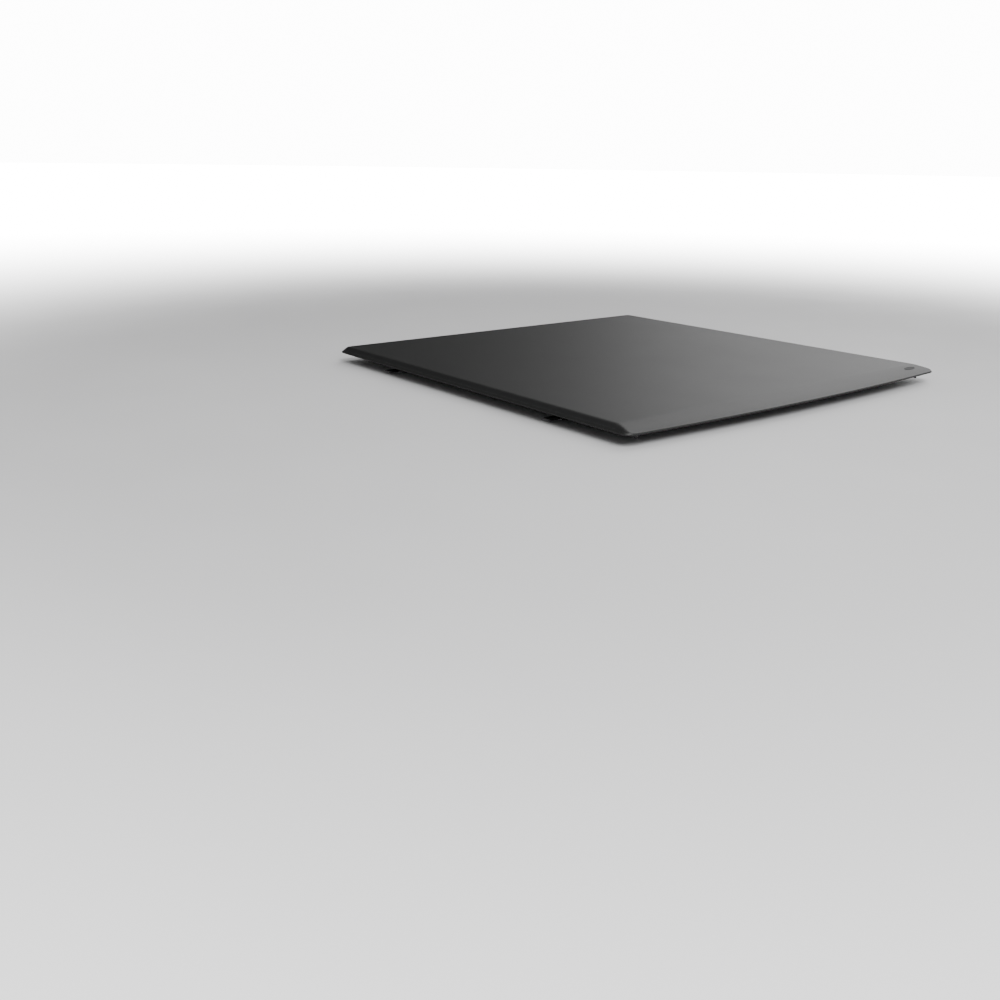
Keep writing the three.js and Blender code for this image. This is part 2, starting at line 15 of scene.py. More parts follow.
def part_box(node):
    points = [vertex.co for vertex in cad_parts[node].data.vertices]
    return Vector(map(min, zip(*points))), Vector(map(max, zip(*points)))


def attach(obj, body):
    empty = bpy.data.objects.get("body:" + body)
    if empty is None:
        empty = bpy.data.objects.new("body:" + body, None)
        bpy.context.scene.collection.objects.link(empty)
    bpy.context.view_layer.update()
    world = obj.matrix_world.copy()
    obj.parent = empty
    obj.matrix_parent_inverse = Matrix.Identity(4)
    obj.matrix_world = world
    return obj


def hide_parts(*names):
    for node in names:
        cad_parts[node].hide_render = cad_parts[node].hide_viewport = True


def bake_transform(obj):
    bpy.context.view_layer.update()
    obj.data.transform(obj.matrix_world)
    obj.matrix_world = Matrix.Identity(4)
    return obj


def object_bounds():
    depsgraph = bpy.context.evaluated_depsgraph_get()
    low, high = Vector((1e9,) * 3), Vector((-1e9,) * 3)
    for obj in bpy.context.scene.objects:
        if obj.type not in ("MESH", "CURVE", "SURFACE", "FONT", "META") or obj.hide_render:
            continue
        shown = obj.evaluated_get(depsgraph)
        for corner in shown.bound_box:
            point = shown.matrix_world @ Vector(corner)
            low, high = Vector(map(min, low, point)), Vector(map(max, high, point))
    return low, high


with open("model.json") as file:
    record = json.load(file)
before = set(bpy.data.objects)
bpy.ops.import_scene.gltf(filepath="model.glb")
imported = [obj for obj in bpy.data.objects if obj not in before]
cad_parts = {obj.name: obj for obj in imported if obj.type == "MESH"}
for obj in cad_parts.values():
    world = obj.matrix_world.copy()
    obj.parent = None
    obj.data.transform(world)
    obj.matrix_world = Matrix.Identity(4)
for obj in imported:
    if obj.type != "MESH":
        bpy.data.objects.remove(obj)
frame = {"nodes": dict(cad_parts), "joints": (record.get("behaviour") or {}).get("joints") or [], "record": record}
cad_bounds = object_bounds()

MM = 0.001
SIDES = (("left", -1), ("right", 1))

# --- the cover's sizes, from the frame ------------------------------------------------------------
TOP_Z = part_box("vinyl_section_05")[1].z
RAIL_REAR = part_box("side_rail_right")[0].y
RAIL_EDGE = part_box("side_rail_right")[1].x
CROSSBOW_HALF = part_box("crossbow_1")[1].x
REAR_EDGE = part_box("vinyl_section_10")[0].y
FRONT_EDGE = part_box("front_corner_left")[1].y + 8 * MM  # the skirts stand proud of the frame
HEM_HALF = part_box("side_rail_right")[1].x + 6.5 * MM
HINGES = [j["pos_m"][1] for j in frame["joints"] if j["name"].startswith("roll_")]

# --- the vinyl's own sizes ------------------------------------------------------------------------
THICK = 1.2 * MM
HEM_Z = 3.2 * MM  # lowest edge of the skirts
LIP = 2.0 * MM  # height of the bound edge under the sloping skirt
SIDE_SLOPE = 0.75
FRONT_SLOPE = 0.9
REAR_SLOPE = 5.0
LIP_SOFTNESS = 0.25 * MM  # how softly the bound edge starts
REAR_BOW = 25 * MM  # how far the middle of the rear edge stands out, seen from above
BOW_HALF_WIDTH = 712 * MM
BOW_START = REAR_EDGE + 100 * MM  # the rear edge's bow and the top's fall both begin here
REAR_FALL = 14 * MM  # how far the top falls towards the rear edge
FALL_POWER = 1.6
CREASE = 4 * MM  # how softly the top turns into the skirt
REAR_CREASE = 2 * MM
FRONT_CORNER = 38 * MM
REAR_CORNER = 38 * MM
BEND_BEFORE = 16 * MM  # how far the bend reaches to the front of a hinge line
BEND_AFTER = 40 * MM  # and to the rear of it

# --- how finely the vinyl is meshed ---------------------------------------------------------------
FRONT_GRADE = (0.12 * MM, 1.22, 60 * MM)  # first step from the edge, growth, reach
REAR_GRADE = (0.1 * MM, 1.16, 100 * MM)
SIDE_GRADE = (0.12 * MM, 1.25, 44 * MM)
FINE_END = 60 * MM  # rows this near the front or rear edge are all kept
BEND_STEP = 2 * MM
LONGEST_STEP = 10 * MM
SHORTEST_STEP = 0.8 * MM
INNER_COLUMNS = 25


# --- nodes and materials --------------------------------------------------------------------------
class Shader:
    """A small helper that builds one material's node tree."""

    def __init__(self, name):
        self.material = bpy.data.materials.new(name)
        self.material.use_nodes = True
        self.tree = self.material.node_tree
        self.bsdf = self.tree.nodes["Principled BSDF"]
        self.coords = self.node("ShaderNodeTexCoord")

    def node(self, kind, **settings):
        made = self.tree.nodes.new(kind)
        for key, value in settings.items():
            setattr(made, key, value)
        return made

    def link(self, source, target):
        self.tree.links.new(source, target)

    def fixed(self, **values):
        for key, value in values.items():
            self.bsdf.inputs[key.replace("_", " ")].default_value = value
        return self

    def scaled(self, scale=(1, 1, 1)):
        """Object coordinates, scaled along each axis."""
        mapping = self.node("ShaderNodeMapping")
        mapping.inputs["Scale"].default_value = scale
        self.link(self.coords.outputs["Object"], mapping.inputs["Vector"])
        return mapping.outputs["Vector"]

    def noise(self, size, detail=3.0, stretch=(1, 1, 1), roughness=0.5):
        """Noise whose blobs are about this size across, in metres."""
        made = self.node("ShaderNodeTexNoise")
        made.inputs["Scale"].default_value = 1 / size
        made.inputs["Detail"].default_value = detail
        made.inputs["Roughness"].default_value = roughness
        self.link(self.scaled(stretch), made.inputs["Vector"])
        return made.outputs["Fac"]

    def cells(self, size):
        """Rounded cells about this size across, in metres."""
        made = self.node("ShaderNodeTexVoronoi", feature="SMOOTH_F1")
        made.inputs["Scale"].default_value = 1 / size
        self.link(self.scaled(), made.inputs["Vector"])
        return made.outputs["Distance"]

    def wave(self, pitch, direction):
        """Ridges on the UV map at this pitch in metres: a wave texture's own period is 2 pi / 20."""
        made = self.node("ShaderNodeTexWave", bands_direction=direction, wave_profile="SIN")
        made.inputs["Scale"].default_value = math.pi / 10 / pitch
        made.inputs["Distortion"].default_value = 0.0
        self.link(self.coords.outputs["UV"], made.inputs["Vector"])
        return made.outputs["Fac"]

    def combine(self, operation, a, b):
        made = self.node("ShaderNodeMath", operation=operation)
        for socket, value in zip(made.inputs, (a, b)):
            if isinstance(value, (int, float)):
                socket.default_value = value
            else:
                self.link(value, socket)
        return made.outputs[0]

    def remap(self, value, low, high):
        """The value spread from low to high: most of a noise lies between 0.3 and 0.7."""
        made = self.node("ShaderNodeMapRange")
        self.link(value, made.inputs["Value"])
        made.inputs["From Min"].default_value = 0.3
        made.inputs["From Max"].default_value = 0.7
        made.inputs["To Min"].default_value = low
        made.inputs["To Max"].default_value = high
        return made.outputs["Result"]

    def colours(self, value, first, second, low=0.3, high=0.7):
        """Base colour between two tones, as the value goes from low to high."""
        ramp = self.node("ShaderNodeValToRGB")
        ramp.color_ramp.elements[0].position = low
        ramp.color_ramp.elements[1].position = high
        ramp.color_ramp.elements[0].color = (*first, 1)
        ramp.color_ramp.elements[1].color = (*second, 1)
        self.link(value, ramp.inputs["Fac"])
        self.link(ramp.outputs["Color"], self.bsdf.inputs["Base Color"])
        return self

    def rough(self, value, low, high):
        self.link(self.remap(value, low, high), self.bsdf.inputs["Roughness"])
        return self

    def bumps(self, *layers):
        """Layers are (height value, height in metres), added one on the other."""
        normal = None
        for value, height in layers:
            bump = self.node("ShaderNodeBump")
            bump.inputs["Strength"].default_value = 1.0
            bump.inputs["Distance"].default_value = height
            self.link(value, bump.inputs["Height"])
            if normal is not None:
                self.link(normal, bump.inputs["Normal"])
            normal = bump.outputs["Normal"]
        self.link(normal, self.bsdf.inputs["Normal"])
        return self


def vinyl_face():
    s = Shader("vinyl_face")
    s.fixed(IOR=1.5)
    s.colours(s.noise(0.0015, 4), (0.0082, 0.0085, 0.0086), (0.0122, 0.0126, 0.0127))
    s.rough(s.noise(0.25, 2), 0.485, 0.498)
    grain = s.combine("ADD", s.cells(0.0016), s.combine("MULTIPLY", s.noise(0.0007, 2), 0.6))
    return s.bumps((grain, 0.05 * MM)).material


def vinyl_back():
    """The knitted polyester backing of the vinyl."""
    s = Shader("vinyl_back")
    s.fixed(Sheen_Weight=0.35, Sheen_Roughness=0.6)
    s.colours(s.noise(0.0012, 4), (0.022, 0.0225, 0.0235), (0.042, 0.043, 0.045))
    s.rough(s.noise(0.02, 3), 0.8, 0.95)
    knit = s.combine("MULTIPLY", s.wave(0.0012, "X"), s.wave(0.0016, "Y"))
    return s.bumps((knit, 0.16 * MM), (s.noise(0.0006, 2), 0.06 * MM)).material


def powder_coat():
    s = Shader("black_powder_coat")
    s.fixed(IOR=1.5)
    s.colours(s.noise(0.0022, 5), (0.0135, 0.0140, 0.0145), (0.0195, 0.0200, 0.0208))
    s.rough(s.noise(0.06, 3), 0.42, 0.48)
    return s.bumps((s.noise(0.0014, 2), 0.03 * MM)).material


def mill_aluminium():
    s = Shader("mill_aluminium")
    s.fixed(Metallic=1.0)
    streak = s.noise(0.0012, 4, stretch=(0.02, 1, 1))
    s.colours(streak, (0.50, 0.51, 0.52), (0.66, 0.67, 0.68))
    s.rough(s.noise(0.002, 5, stretch=(0.05, 1, 1)), 0.28, 0.46)
    return s.bumps((streak, 0.02 * MM)).material


def zinc_plate():
    s = Shader("zinc_plate")
    s.fixed(Metallic=1.0)
    s.colours(s.noise(0.006, 5), (0.42, 0.43, 0.44), (0.60, 0.61, 0.62))
    s.rough(s.noise(0.004, 4), 0.26, 0.46)
    return s.bumps((s.noise(0.0008, 3), 0.02 * MM)).material


def black_steel():
    s = Shader("black_steel")
    s.fixed(IOR=1.5)
    s.colours(s.noise(0.01, 5), (0.014, 0.0145, 0.015), (0.030, 0.031, 0.032))
    s.rough(s.noise(0.004, 4), 0.32, 0.48)
    return s.bumps((s.noise(0.001, 3), 0.02 * MM)).material


def moulded_plastic():
    s = Shader("moulded_plastic")
    s.fixed(IOR=1.46)
    s.colours(s.noise(0.02, 4), (0.013, 0.0133, 0.014), (0.021, 0.0215, 0.022))
    s.rough(s.noise(0.003, 4), 0.5, 0.64)
    return s.bumps((s.cells(0.0006), 0.03 * MM)).material


def rubber():
    s = Shader("rubber")
    s.fixed(IOR=1.5)
    s.colours(s.noise(0.015, 5), (0.008, 0.008, 0.0082), (0.016, 0.016, 0.0165))
    s.rough(s.noise(0.005, 4), 0.7, 0.88)
    return s.bumps((s.noise(0.0015, 4), 0.06 * MM)).material


def webbing():
    """Polyester webbing: a herringbone of diagonal ribs along the strap's own UV map."""
    s = Shader("webbing")
    s.fixed(Sheen_Weight=0.4, Sheen_Roughness=0.5)
    ribs = s.combine("MAXIMUM", s.wave(0.0016, "X"), s.wave(0.0024, "DIAGONAL"))
    s.colours(ribs, (0.010, 0.0102, 0.0105), (0.030, 0.031, 0.032), 0.2, 0.9)
    s.rough(s.noise(0.004, 3), 0.72, 0.9)
    return s.bumps((ribs, 0.3 * MM), (s.noise(0.0004, 2), 0.05 * MM)).material


def hook_tape():
    s = Shader("hook_tape")
    s.fixed(Sheen_Weight=0.5, Sheen_Roughness=0.4)
    hooks = s.combine("MULTIPLY", s.wave(0.0015, "X"), s.wave(0.0015, "Y"))
    s.colours(hooks, (0.007, 0.007, 0.0075), (0.022, 0.022, 0.023), 0.2, 0.8)
    s.rough(s.noise(0.003, 3), 0.75, 0.92)
    return s.bumps((hooks, 0.6 * MM)).material


def loop_tape():
    s = Shader("loop_tape")
    s.fixed(Sheen_Weight=0.7, Sheen_Roughness=0.5)
    fuzz = s.noise(0.0011, 6, roughness=0.75)
    s.colours(fuzz, (0.010, 0.010, 0.0105), (0.034, 0.034, 0.036))
    s.rough(s.noise(0.006, 3), 0.85, 0.97)
    return s.bumps((fuzz, 0.7 * MM)).material


def patch_vinyl():
    """Matt moulded vinyl, a little duller than the cover."""
    s = Shader("patch_vinyl")
    s.fixed(IOR=1.42)
    s.colours(s.noise(0.002, 4), (0.0085, 0.0087, 0.0090), (0.0130, 0.0132, 0.0135))
    s.rough(s.noise(0.004, 3), 0.58, 0.68)
    return s.bumps((s.cells(0.0007), 0.03 * MM)).material


def thread():
    s = Shader("sewing_thread")
    s.fixed(Sheen_Weight=0.3)
    twist = s.noise(0.0005, 2, stretch=(1, 0.5, 1))
    s.colours(twist, (0.018, 0.018, 0.019), (0.040, 0.041, 0.042))
    s.rough(twist, 0.55, 0.75)
    return s.bumps((twist, 0.08 * MM)).material


LOOKS = {
    "vinyl_face": vinyl_face(),
    "vinyl_back": vinyl_back(),
    "powder": powder_coat(),
    "aluminium": mill_aluminium(),
    "zinc": zinc_plate(),
    "steel": black_steel(),
    "plastic": moulded_plastic(),
    "rubber": rubber(),
    "webbing": webbing(),
    "hooks": hook_tape(),
    "loops": loop_tape(),
    "thread": thread(),
    "patch": patch_vinyl(),
}


# --- mesh helpers ---------------------------------------------------------------------------------
def make_piece(name, vertices, faces, looks, face_looks=None, uv=None, sharp_above=40):
    """A mesh object: uv holds a pair for each vertex, and edges above the angle stay crisp."""
    mesh = bpy.data.meshes.new(name)
    mesh.from_pydata([tuple(map(float, v)) for v in vertices], [], [tuple(f) for f in faces])
    for look in looks:
        mesh.materials.append(LOOKS[look])
    if face_looks is not None:
        mesh.polygons.foreach_set("material_index", face_looks)
    if uv is not None:
        layer = mesh.uv_layers.new(name="Cloth")
        corner_vertices = np.zeros(len(mesh.loops), np.int32)
        mesh.loops.foreach_get("vertex_index", corner_vertices)
        layer.data.foreach_set("uv", np.asarray(uv, np.float32)[corner_vertices].ravel())
    soften(mesh, sharp_above)
    made = bpy.data.objects.new(name, mesh)
    bpy.context.scene.collection.objects.link(made)
    return made


def soften(mesh, sharp_above):
    """Shades a mesh smooth except across edges sharper than the angle in degrees."""
    work = bmesh.new()
    work.from_mesh(mesh)
    bmesh.ops.recalc_face_normals(work, faces=work.faces)
    limit = math.radians(sharp_above)
    for edge in work.edges:
        edge.smooth = len(edge.link_faces) == 2 and edge.calc_face_angle(0) < limit
    for face in work.faces:
        face.smooth = True
    work.to_mesh(mesh)
    work.free()


# --- the vinyl's surface --------------------------------------------------------------------------
def smooth_min(a, b, softness):
    near = np.clip((softness - np.abs(a - b)) / softness, 0, 1)
    return np.minimum(a, b) - near * near * softness / 4


def smooth_step(t):
    t = np.clip(t, 0, 1)
    return t * t * (3 - 2 * t)


def inward(x, y):
    """How far a point of the plan lies inside the hem, and how much it belongs to the ends."""
    middle = (FRONT_EDGE + REAR_EDGE) / 2
    half_length = (FRONT_EDGE - REAR_EDGE) / 2
    radius = np.where(y > middle, FRONT_CORNER, REAR_CORNER)
    across = np.abs(x) - (HEM_HALF - radius)
    along = np.abs(y - middle) - (half_length - radius)
    corner = np.hypot(np.maximum(across, 0), np.maximum(along, 0))
    inside = radius - corner - np.minimum(np.maximum(across, along), 0)
    angle = np.arctan2(np.maximum(along, 0), np.maximum(across, 1e-9))
    end = np.where(across > 0, smooth_step(angle * 2 / math.pi), (along > across) * 1.0)
    return np.maximum(inside, 0), end


def bowed(y, x):
    """Moves what is near the rear edge so that the edge is bowed, as seen from above."""
    ramp = np.clip((BOW_START - y) / (BOW_START - REAR_EDGE), 0, 1)
    return y + REAR_BOW * ramp * np.minimum(np.abs(x) / BOW_HALF_WIDTH, 1) ** 2


def surface(x, y):
    """Points of the vinyl's upper face, over plan points given as they lie before the bow."""
    x, y = np.asarray(x, float), np.asarray(y, float)
    inside, end = inward(x, y)
    fall = np.clip((BOW_START - y) / (BOW_START - REAR_EDGE), 0, 1)
    top = TOP_Z - REAR_FALL * fall**FALL_POWER
    end_run = 1 / np.where(y > 0, FRONT_SLOPE, REAR_SLOPE)
    slope = 1 / (1 / SIDE_SLOPE + (end_run - 1 / SIDE_SLOPE) * end)
    lip = LIP * (1 - np.exp(-inside / LIP_SOFTNESS))
    softness = np.where(y > 0, CREASE, CREASE + (REAR_CREASE - CREASE) * end)
    z = smooth_min(top, HEM_Z + lip + slope * inside, softness)
    return np.stack([x, bowed(y, x), z], -1)


def surface_normal(x, y):
    step = 0.05 * MM
    along_x = surface(x + step, y) - surface(x - step, y)
    along_y = surface(x, y + step) - surface(x, y - step)
    normal = np.cross(along_x, along_y)
    return normal / np.linalg.norm(normal, axis=-1, keepdims=True)


def half_width(y):
    """Half the width of the hem's outline at this y."""
    low, high = y - REAR_EDGE, FRONT_EDGE - y
    near = np.where(low < high, low, high)
    radius = np.where(low < high, REAR_CORNER, FRONT_CORNER)
    reach = np.sqrt(np.maximum(radius**2 - np.maximum(radius - near, 0) ** 2, 0))
    return HEM_HALF - radius + reach


def graded(first, growth, reach):
    """Distances from 0 to reach whose steps grow from the first."""
    steps = [0.0]
    step = first
    while steps[-1] + step < reach:
        steps.append(steps[-1] + step)
        step *= growth
    return steps + [reach]


def mid_lines():
    """Where one strip of the vinyl ends and the next begins: the middle of each rolled section."""
    return [(a + b) / 2 for a, b in zip(HINGES, HINGES[1:])]


def row_stations():
    """y of every row of the grid: fine at both ends and across each hinge line."""
    rows = [FRONT_EDGE - d for d in graded(*FRONT_GRADE)]
    rows += [REAR_EDGE + d for d in graded(*REAR_GRADE)]
    for hinge in HINGES:
        rows += list(np.arange(hinge - BEND_AFTER, hinge + BEND_BEFORE + 1e-9, BEND_STEP))
    mids = mid_lines()
    rows += mids
    rows = sorted(set(round(r, 6) for r in rows), reverse=True)
    filled = [rows[0]]
    for row in rows[1:]:
        gap = filled[-1] - row
        parts = max(1, math.ceil(gap / LONGEST_STEP))
        filled += [filled[-1] - gap * (i + 1) / parts for i in range(parts)]
    kept = [filled[0]]
    for row in filled[1:]:
        fixed = any(abs(row - m) < 1e-6 for m in mids)
        near_end = row > FRONT_EDGE - FINE_END or row < REAR_EDGE + FINE_END
        if fixed and kept[-1] - row < SHORTEST_STEP:
            kept[-1] = row
        elif near_end or kept[-1] - row > SHORTEST_STEP:
            kept.append(row)
    return kept


OUTER_COLUMNS = graded(*SIDE_GRADE)  # distances from the hem


def column_x(y):
    """x of every column of the grid in a row."""
    width = half_width(np.asarray(y))
    flat = np.linspace(0, width - OUTER_COLUMNS[-1], INNER_COLUMNS)
    right = list(flat) + [width - d for d in reversed(OUTER_COLUMNS[:-1])]
    return np.array([-x for x in reversed(right[1:])] + right)


ROWS = row_stations()
GRID_X = np.array([column_x(y) for y in ROWS])
GRID_Y = np.repeat(np.array(ROWS)[:, None], GRID_X.shape[1], axis=1)
UPPER = surface(GRID_X, GRID_Y)


def grid_normals(points):
    """Upward unit normals of a grid of points."""
    along_rows = np.gradient(points, axis=0)
    along_columns = np.gradient(points, axis=1)
    normal = np.cross(along_rows, along_columns)
    normal /= np.maximum(np.linalg.norm(normal, axis=-1, keepdims=True), 1e-12)
    return normal * np.sign(normal[..., 2:3] + 1e-12)


LOWER = UPPER - grid_normals(UPPER) * THICK


def arc_lengths(points):
    """Distances along each row of a grid, from its middle point."""
    steps = np.linalg.norm(np.diff(points, axis=1), axis=-1)
    run = np.concatenate([np.zeros((len(points), 1)), np.cumsum(steps, axis=1)], axis=1)
    return run - run[:, points.shape[1] // 2][:, None]


CLOTH_U = arc_lengths(UPPER)


def strip_of_vinyl(number, first, last):
    """The thin closed sheet between two rows of the grid."""
    upper, lower = UPPER[first : last + 1], LOWER[first : last + 1]
    rows, columns = upper.shape[:2]
    count = rows * columns
    at = np.arange(count).reshape(rows, columns)
    faces, looks = [], []
    for i in range(rows - 1):
        for j in range(columns - 1):
            a, b, c, d = at[i, j], at[i, j + 1], at[i + 1, j + 1], at[i + 1, j]
            faces.append((a, b, c, d))
            looks.append(0)
            faces.append((d + count, c + count, b + count, a + count))
            looks.append(1)
    rim = list(at[0]) + list(at[1:, -1]) + list(at[-1, -2::-1]) + list(at[-2:0:-1, 0])
    for a, b in zip(rim, rim[1:] + rim[:1]):
        faces.append((a, a + count, b + count, b))
        looks.append(0)
    cloth = np.stack([CLOTH_U[first : last + 1], GRID_Y[first : last + 1]], -1).reshape(-1, 2)
    points = np.concatenate([upper.reshape(-1, 3), lower.reshape(-1, 3)])
    uv = np.concatenate([cloth, cloth])
    name = f"vinyl_strip_{number:02d}"
    piece = make_piece(name, points, faces, ["vinyl_face", "vinyl_back"], looks, uv)
    return piece


def across_hinge(piece):
    """Bakes a piece's placement into its mesh."""
    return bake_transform(piece)


def row_at(y):
    return int(np.argmin(np.abs(np.array(ROWS) - y)))


def vinyl_strips():
    cuts = [0] + [row_at(y) for y in mid_lines()] + [len(ROWS) - 1]
    for number, (first, last) in enumerate(zip(cuts[:-1], cuts[1:]), start=1):
        piece = across_hinge(strip_of_vinyl(number, first, last))
        replaced = [f"vinyl_section_{number:02d}"]
        if number == 1:
            replaced.append("vinyl_section_00")
        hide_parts(*replaced)


vinyl_strips()


# --- pieces sewn to the vinyl ---------------------------------------------------------------------
def ribbon(path, half, thick):
    """Corners of a flat band that follows a path: one ring of eight points for each path point.

    The path holds (point, across, up) rows, where across and up are unit vectors of the section.
    """
    edge = 0.3 * MM
    section = []
    for side, level in ((-1, -1), (-1, 1), (1, 1), (1, -1)):
        inner = (side * (half - edge), level * thick / 2)
        outer = (side * half, level * (thick / 2 - min(edge, thick * 0.35)))
        section += [outer, inner] if side == level else [inner, outer]
    rings = []
    for point, across, up in path:
        point, across, up = (np.asarray(v, float) for v in (point, across, up))
        rings.append([point + across * a + up * b for a, b in section])
    return rings


def skin_rings(rings, closed=False):
    """Vertices, faces and UVs of a tube of rings, with flat ends unless it is closed on itself."""
    count, size = len(rings), len(rings[0])
    vertices = [v for ring in rings for v in ring]
    faces = []
    for i in range(count if closed else count - 1):
        for j in range(size):
            k, after = (j + 1) % size, (i + 1) % count
            faces.append((i * size + j, after * size + j, after * size + k, i * size + k))
    if not closed:
        faces.append(tuple(range(size)))
        faces.append(tuple((count - 1) * size + j for j in reversed(range(size))))
    middles = [np.mean(ring, axis=0) for ring in rings]
    steps = [np.linalg.norm(b - a) for a, b in zip(middles, middles[1:])]
    run = np.concatenate([[0], np.cumsum(steps)])
    sides = [float(np.linalg.norm(np.asarray(p) - middles[0])) for p in rings[0]]
    half = size // 2
    uv = [((-s if j < half else s), run[i]) for i in range(count) for j, s in enumerate(sides)]
    return vertices, faces, uv


def joined(parts):
    """One list of vertices, faces and UVs from several."""
    vertices, faces, uv = [], [], []
    for more_vertices, more_faces, more_uv in parts:
        faces += [tuple(v + len(vertices) for v in face) for face in more_faces]
        vertices += list(more_vertices)
        uv += list(more_uv)
    return vertices, faces, uv


SEAM_PITCH = 4.2 * MM
SEAM_INSET = 8.5 * MM
REAR_SEAM = 16 * MM
STITCH_HALF = (1.35 * MM, 0.38 * MM, 0.24 * MM)  # along the seam, across it and proud of the vinyl


def seam_lines():
    """The seams as (x, y, heading): one run down each side and one along each end."""
    side, front, rear = HEM_HALF - SEAM_INSET, FRONT_EDGE - SEAM_INSET, REAR_EDGE + REAR_SEAM
    down = np.arange(FRONT_EDGE - FRONT_CORNER, REAR_EDGE + 2 * REAR_CORNER, -SEAM_PITCH)
    runs = [(np.full_like(down, sign * side), down, -math.pi / 2) for _, sign in SIDES]
    for y, half in ((front, HEM_HALF - FRONT_CORNER), (rear, HEM_HALF - REAR_CORNER)):
        along = np.arange(-half, half, SEAM_PITCH)
        runs.append((along, np.full_like(along, y), 0.0))
    return runs


def stitch(middle, along, normal):
    """One short run of thread: a low pill whose ends dip into the vinyl."""
    across = np.cross(normal, along)
    length, width, height = STITCH_HALF
    rings = []
    for t in (-1, -0.8, -0.35, 0.35, 0.8, 1):
        swell = math.sqrt(max(1 - t * t, 0.04))
        centre = middle + along * t * length + normal * height * (0.6 * swell - 0.5)
        rings.append([
            centre + across * width * swell * math.cos(a) + normal * height * swell * math.sin(a)
            for a in (i * math.pi / 3 for i in range(6))
        ])
    return skin_rings(rings)


def hem_stitches():
    """Seams of lockstitch along the hems, one object for each strip of the vinyl."""
    ends = [FRONT_EDGE + 1] + mid_lines() + [REAR_EDGE - 1]
    runs = seam_lines()
    x, y = (np.concatenate([run[i] for run in runs]) for i in (0, 1))
    heading = np.concatenate([np.full_like(run[0], run[2]) for run in runs])
    middles, normals = surface(x, y), surface_normal(x, y)
    small = 0.2 * MM
    ahead = surface(x + small * np.cos(heading), y + small * np.sin(heading)) - middles
    ahead /= np.linalg.norm(ahead, axis=-1, keepdims=True)
    for number, (high, low) in enumerate(zip(ends[:-1], ends[1:]), start=1):
        chosen = np.flatnonzero((y <= high) & (y > low))
        parts = [stitch(middles[i], ahead[i], normals[i]) for i in chosen]
        vertices, faces, uv = joined(parts)
        piece = make_piece(f"hem_stitches_{number:02d}", vertices, faces, ["thread"], uv=uv)
        across_hinge(piece)


TAPE_THICK = 1.1 * MM
TAPE_HALF = 10.5 * MM
TAPE_INSET = 1.6 * MM  # from the lower edge of what the tape lies on
TAPE_GAP = 0.05 * MM  # between the tape and what it lies on
TAPE_FROM_CORNER = 20 * MM
TAPE_FROM_RAIL_END = 6 * MM
RAIL_FOOT_Z = 2.3 * MM
RAIL_BEVEL = (19.4 * MM, 16.1 * MM)  # width and height of the rail's face under the skirt


def side_tape(name, sign, y_high, y_low, foot, slope, lift, look):
    """A flat tape along a sloping side: foot is the (x, z) of the slope's lower edge."""
    down = np.array((math.cos(slope), -math.sin(slope)))
    normal = np.array((math.sin(slope), math.cos(slope)))
    x, z = foot - down * (TAPE_HALF + TAPE_INSET) + normal * lift
    across = (sign * down[0], 0, down[1])
    up = (sign * normal[0], 0, normal[1])
    count = max(2, math.ceil((y_high - y_low) / (4 * MM)))
    stations = [y_high + (y_low - y_high) * i / count for i in range(count + 1)]
    rings = ribbon([((sign * x, y, z), across, up) for y in stations], TAPE_HALF, TAPE_THICK)
    vertices, faces, uv = skin_rings(rings)
    return make_piece(name, vertices, faces, [look], uv=uv)


def hook_and_loop():
    """Hook tape on the rails, and loop tape inside the skirts, cut where the vinyl's strips are cut."""
    before_corner = FRONT_EDGE - FRONT_CORNER - TAPE_FROM_CORNER
    ends = [before_corner] + mid_lines() + [RAIL_REAR + TAPE_FROM_RAIL_END]
    rail_slope, skirt_slope = math.atan2(RAIL_BEVEL[1], RAIL_BEVEL[0]), math.atan(SIDE_SLOPE)
    foot = np.array((RAIL_EDGE, RAIL_FOOT_Z))
    hem = np.array((HEM_HALF, HEM_Z + LIP))
    for side, sign in SIDES:
        lift = TAPE_THICK / 2 + TAPE_GAP
        tape = side_tape(
            f"hook_tape_{side}", sign, ends[0], ends[-1], foot, rail_slope, lift, "hooks"
        )
        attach(tape, "bed_frame")
        for number, (high, low) in enumerate(zip(ends[:-1], ends[1:]), start=1):
            lift = -(THICK + TAPE_THICK / 2 + TAPE_GAP)
            tape = side_tape(
                f"loop_tape_{side}_{number:02d}", sign, high, low, hem, skirt_slope, lift, "loops"
            )
            across_hinge(tape)


hem_stitches()
hook_and_loop()


# --- the pockets that hold the crossbows ----------------------------------------------------------
POCKET_THICK = 0.45 * MM
POCKET_FLANGE = 3.6 * MM
POCKET_SLACK = 0.35 * MM  # from the bow to the middle of the cloth
POCKET_CORNER = 2.6 * MM
POCKET_SAG = 0.12 * MM
BARE_BOW_END = 30 * MM
POCKET_COLUMNS = 60


def rounded_path(points, radius):
    """The same open path with its inner corners replaced by short curves."""
    steps = 4
    points = [np.array(p, float) for p in points]
    out = [points[0]]
    for before, here, after in zip(points, points[1:], points[2:]):
        first = here + (before - here) * min(0.45, radius / np.linalg.norm(before - here))
        last = here + (after - here) * min(0.45, radius / np.linalg.norm(after - here))
        for i in range(steps + 1):
            t = i / steps
            out.append(first * (1 - t) ** 2 + here * 2 * t * (1 - t) + last * t * t)
    return out + [points[-1]]


def offset_path(path, distance):
    """The path moved this far to its left and to its right."""
    path = np.array(path)
    along = np.gradient(path, axis=0)
    along /= np.linalg.norm(along, axis=1, keepdims=True)
    normal = np.stack([-along[:, 1], along[:, 0]], -1)
    return path + normal * distance, path - normal * distance


def path_run(path):
    """Distances along a path, from its first point."""
    path = np.array(path)
    return [0.0] + list(np.cumsum(np.linalg.norm(np.diff(path, axis=0), axis=1)))


def body_of(node):
    bodies = frame["record"]["behaviour"]["bodies"]
    return next(name for name, nodes in bodies.items() if node in nodes)


